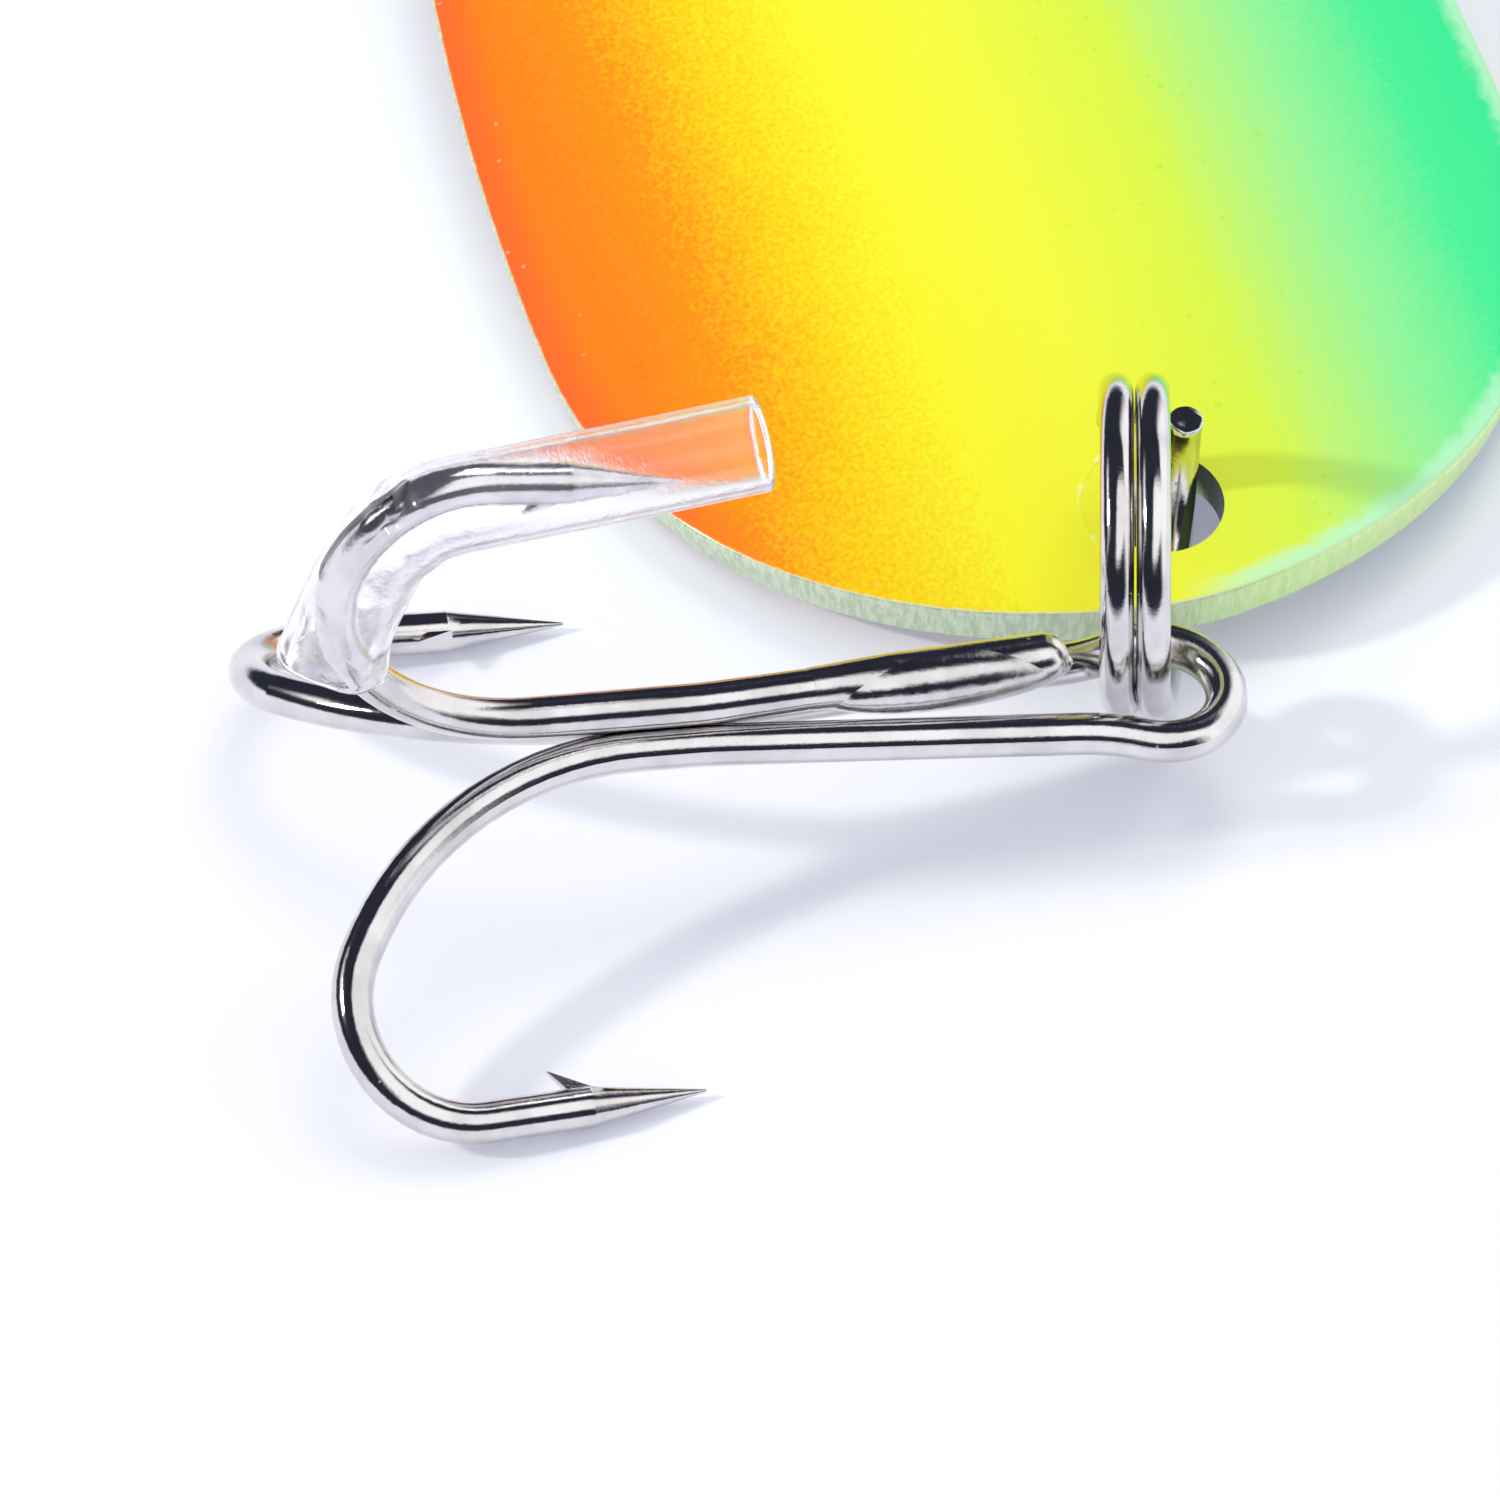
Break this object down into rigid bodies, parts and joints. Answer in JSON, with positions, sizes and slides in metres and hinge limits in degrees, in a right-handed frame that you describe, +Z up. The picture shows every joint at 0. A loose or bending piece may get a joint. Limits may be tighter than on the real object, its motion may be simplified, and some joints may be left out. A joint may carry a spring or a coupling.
{
  "type": "spoon lure",
  "caption": "Domed teardrop spoon blade with a split ring at the tail, a brazed treble hook and a clear tube over one hook point.",
  "frame": {"origin": "on the table under the middle of the whole lure, the lure lying as it does at rest with its painted side up", "axes": "+X along the blade from the tail with the treble to the nose with the line-tie hole, +Y to the side on which the treble lies, +Z up"},
  "size_m": [0.0586, 0.0304, 0.0126],
  "materials": {
    "painted_blade": "gloss",
    "ring_nickel": "polished",
    "hook_nickel": "polished",
    "braze": "polished",
    "clear_tube": "gloss"
  },
  "bodies": {
    "blade": {"blade": "painted_blade"},
    "split_ring": {"rear_split_ring": "ring_nickel"},
    "treble": {"double_hook": "hook_nickel", "single_hook": "hook_nickel", "hook_braze": "braze", "point_guard": "clear_tube"}
  },
  "joints": [
    {"name": "ring_swing", "type": "hinge", "parent": "blade", "child": "split_ring", "pos_m": [-0.01791, -0.0043, 0.00165], "axis": [-0.3025, -0.9531, 0], "range_deg": [0, 70]},
    {"name": "treble_swing", "type": "hinge", "parent": "split_ring", "child": "treble", "pos_m": [-0.02318, -0.00262, 0.00274], "axis": [0, 0, 1], "range_deg": [-8, 170]}
  ]
}
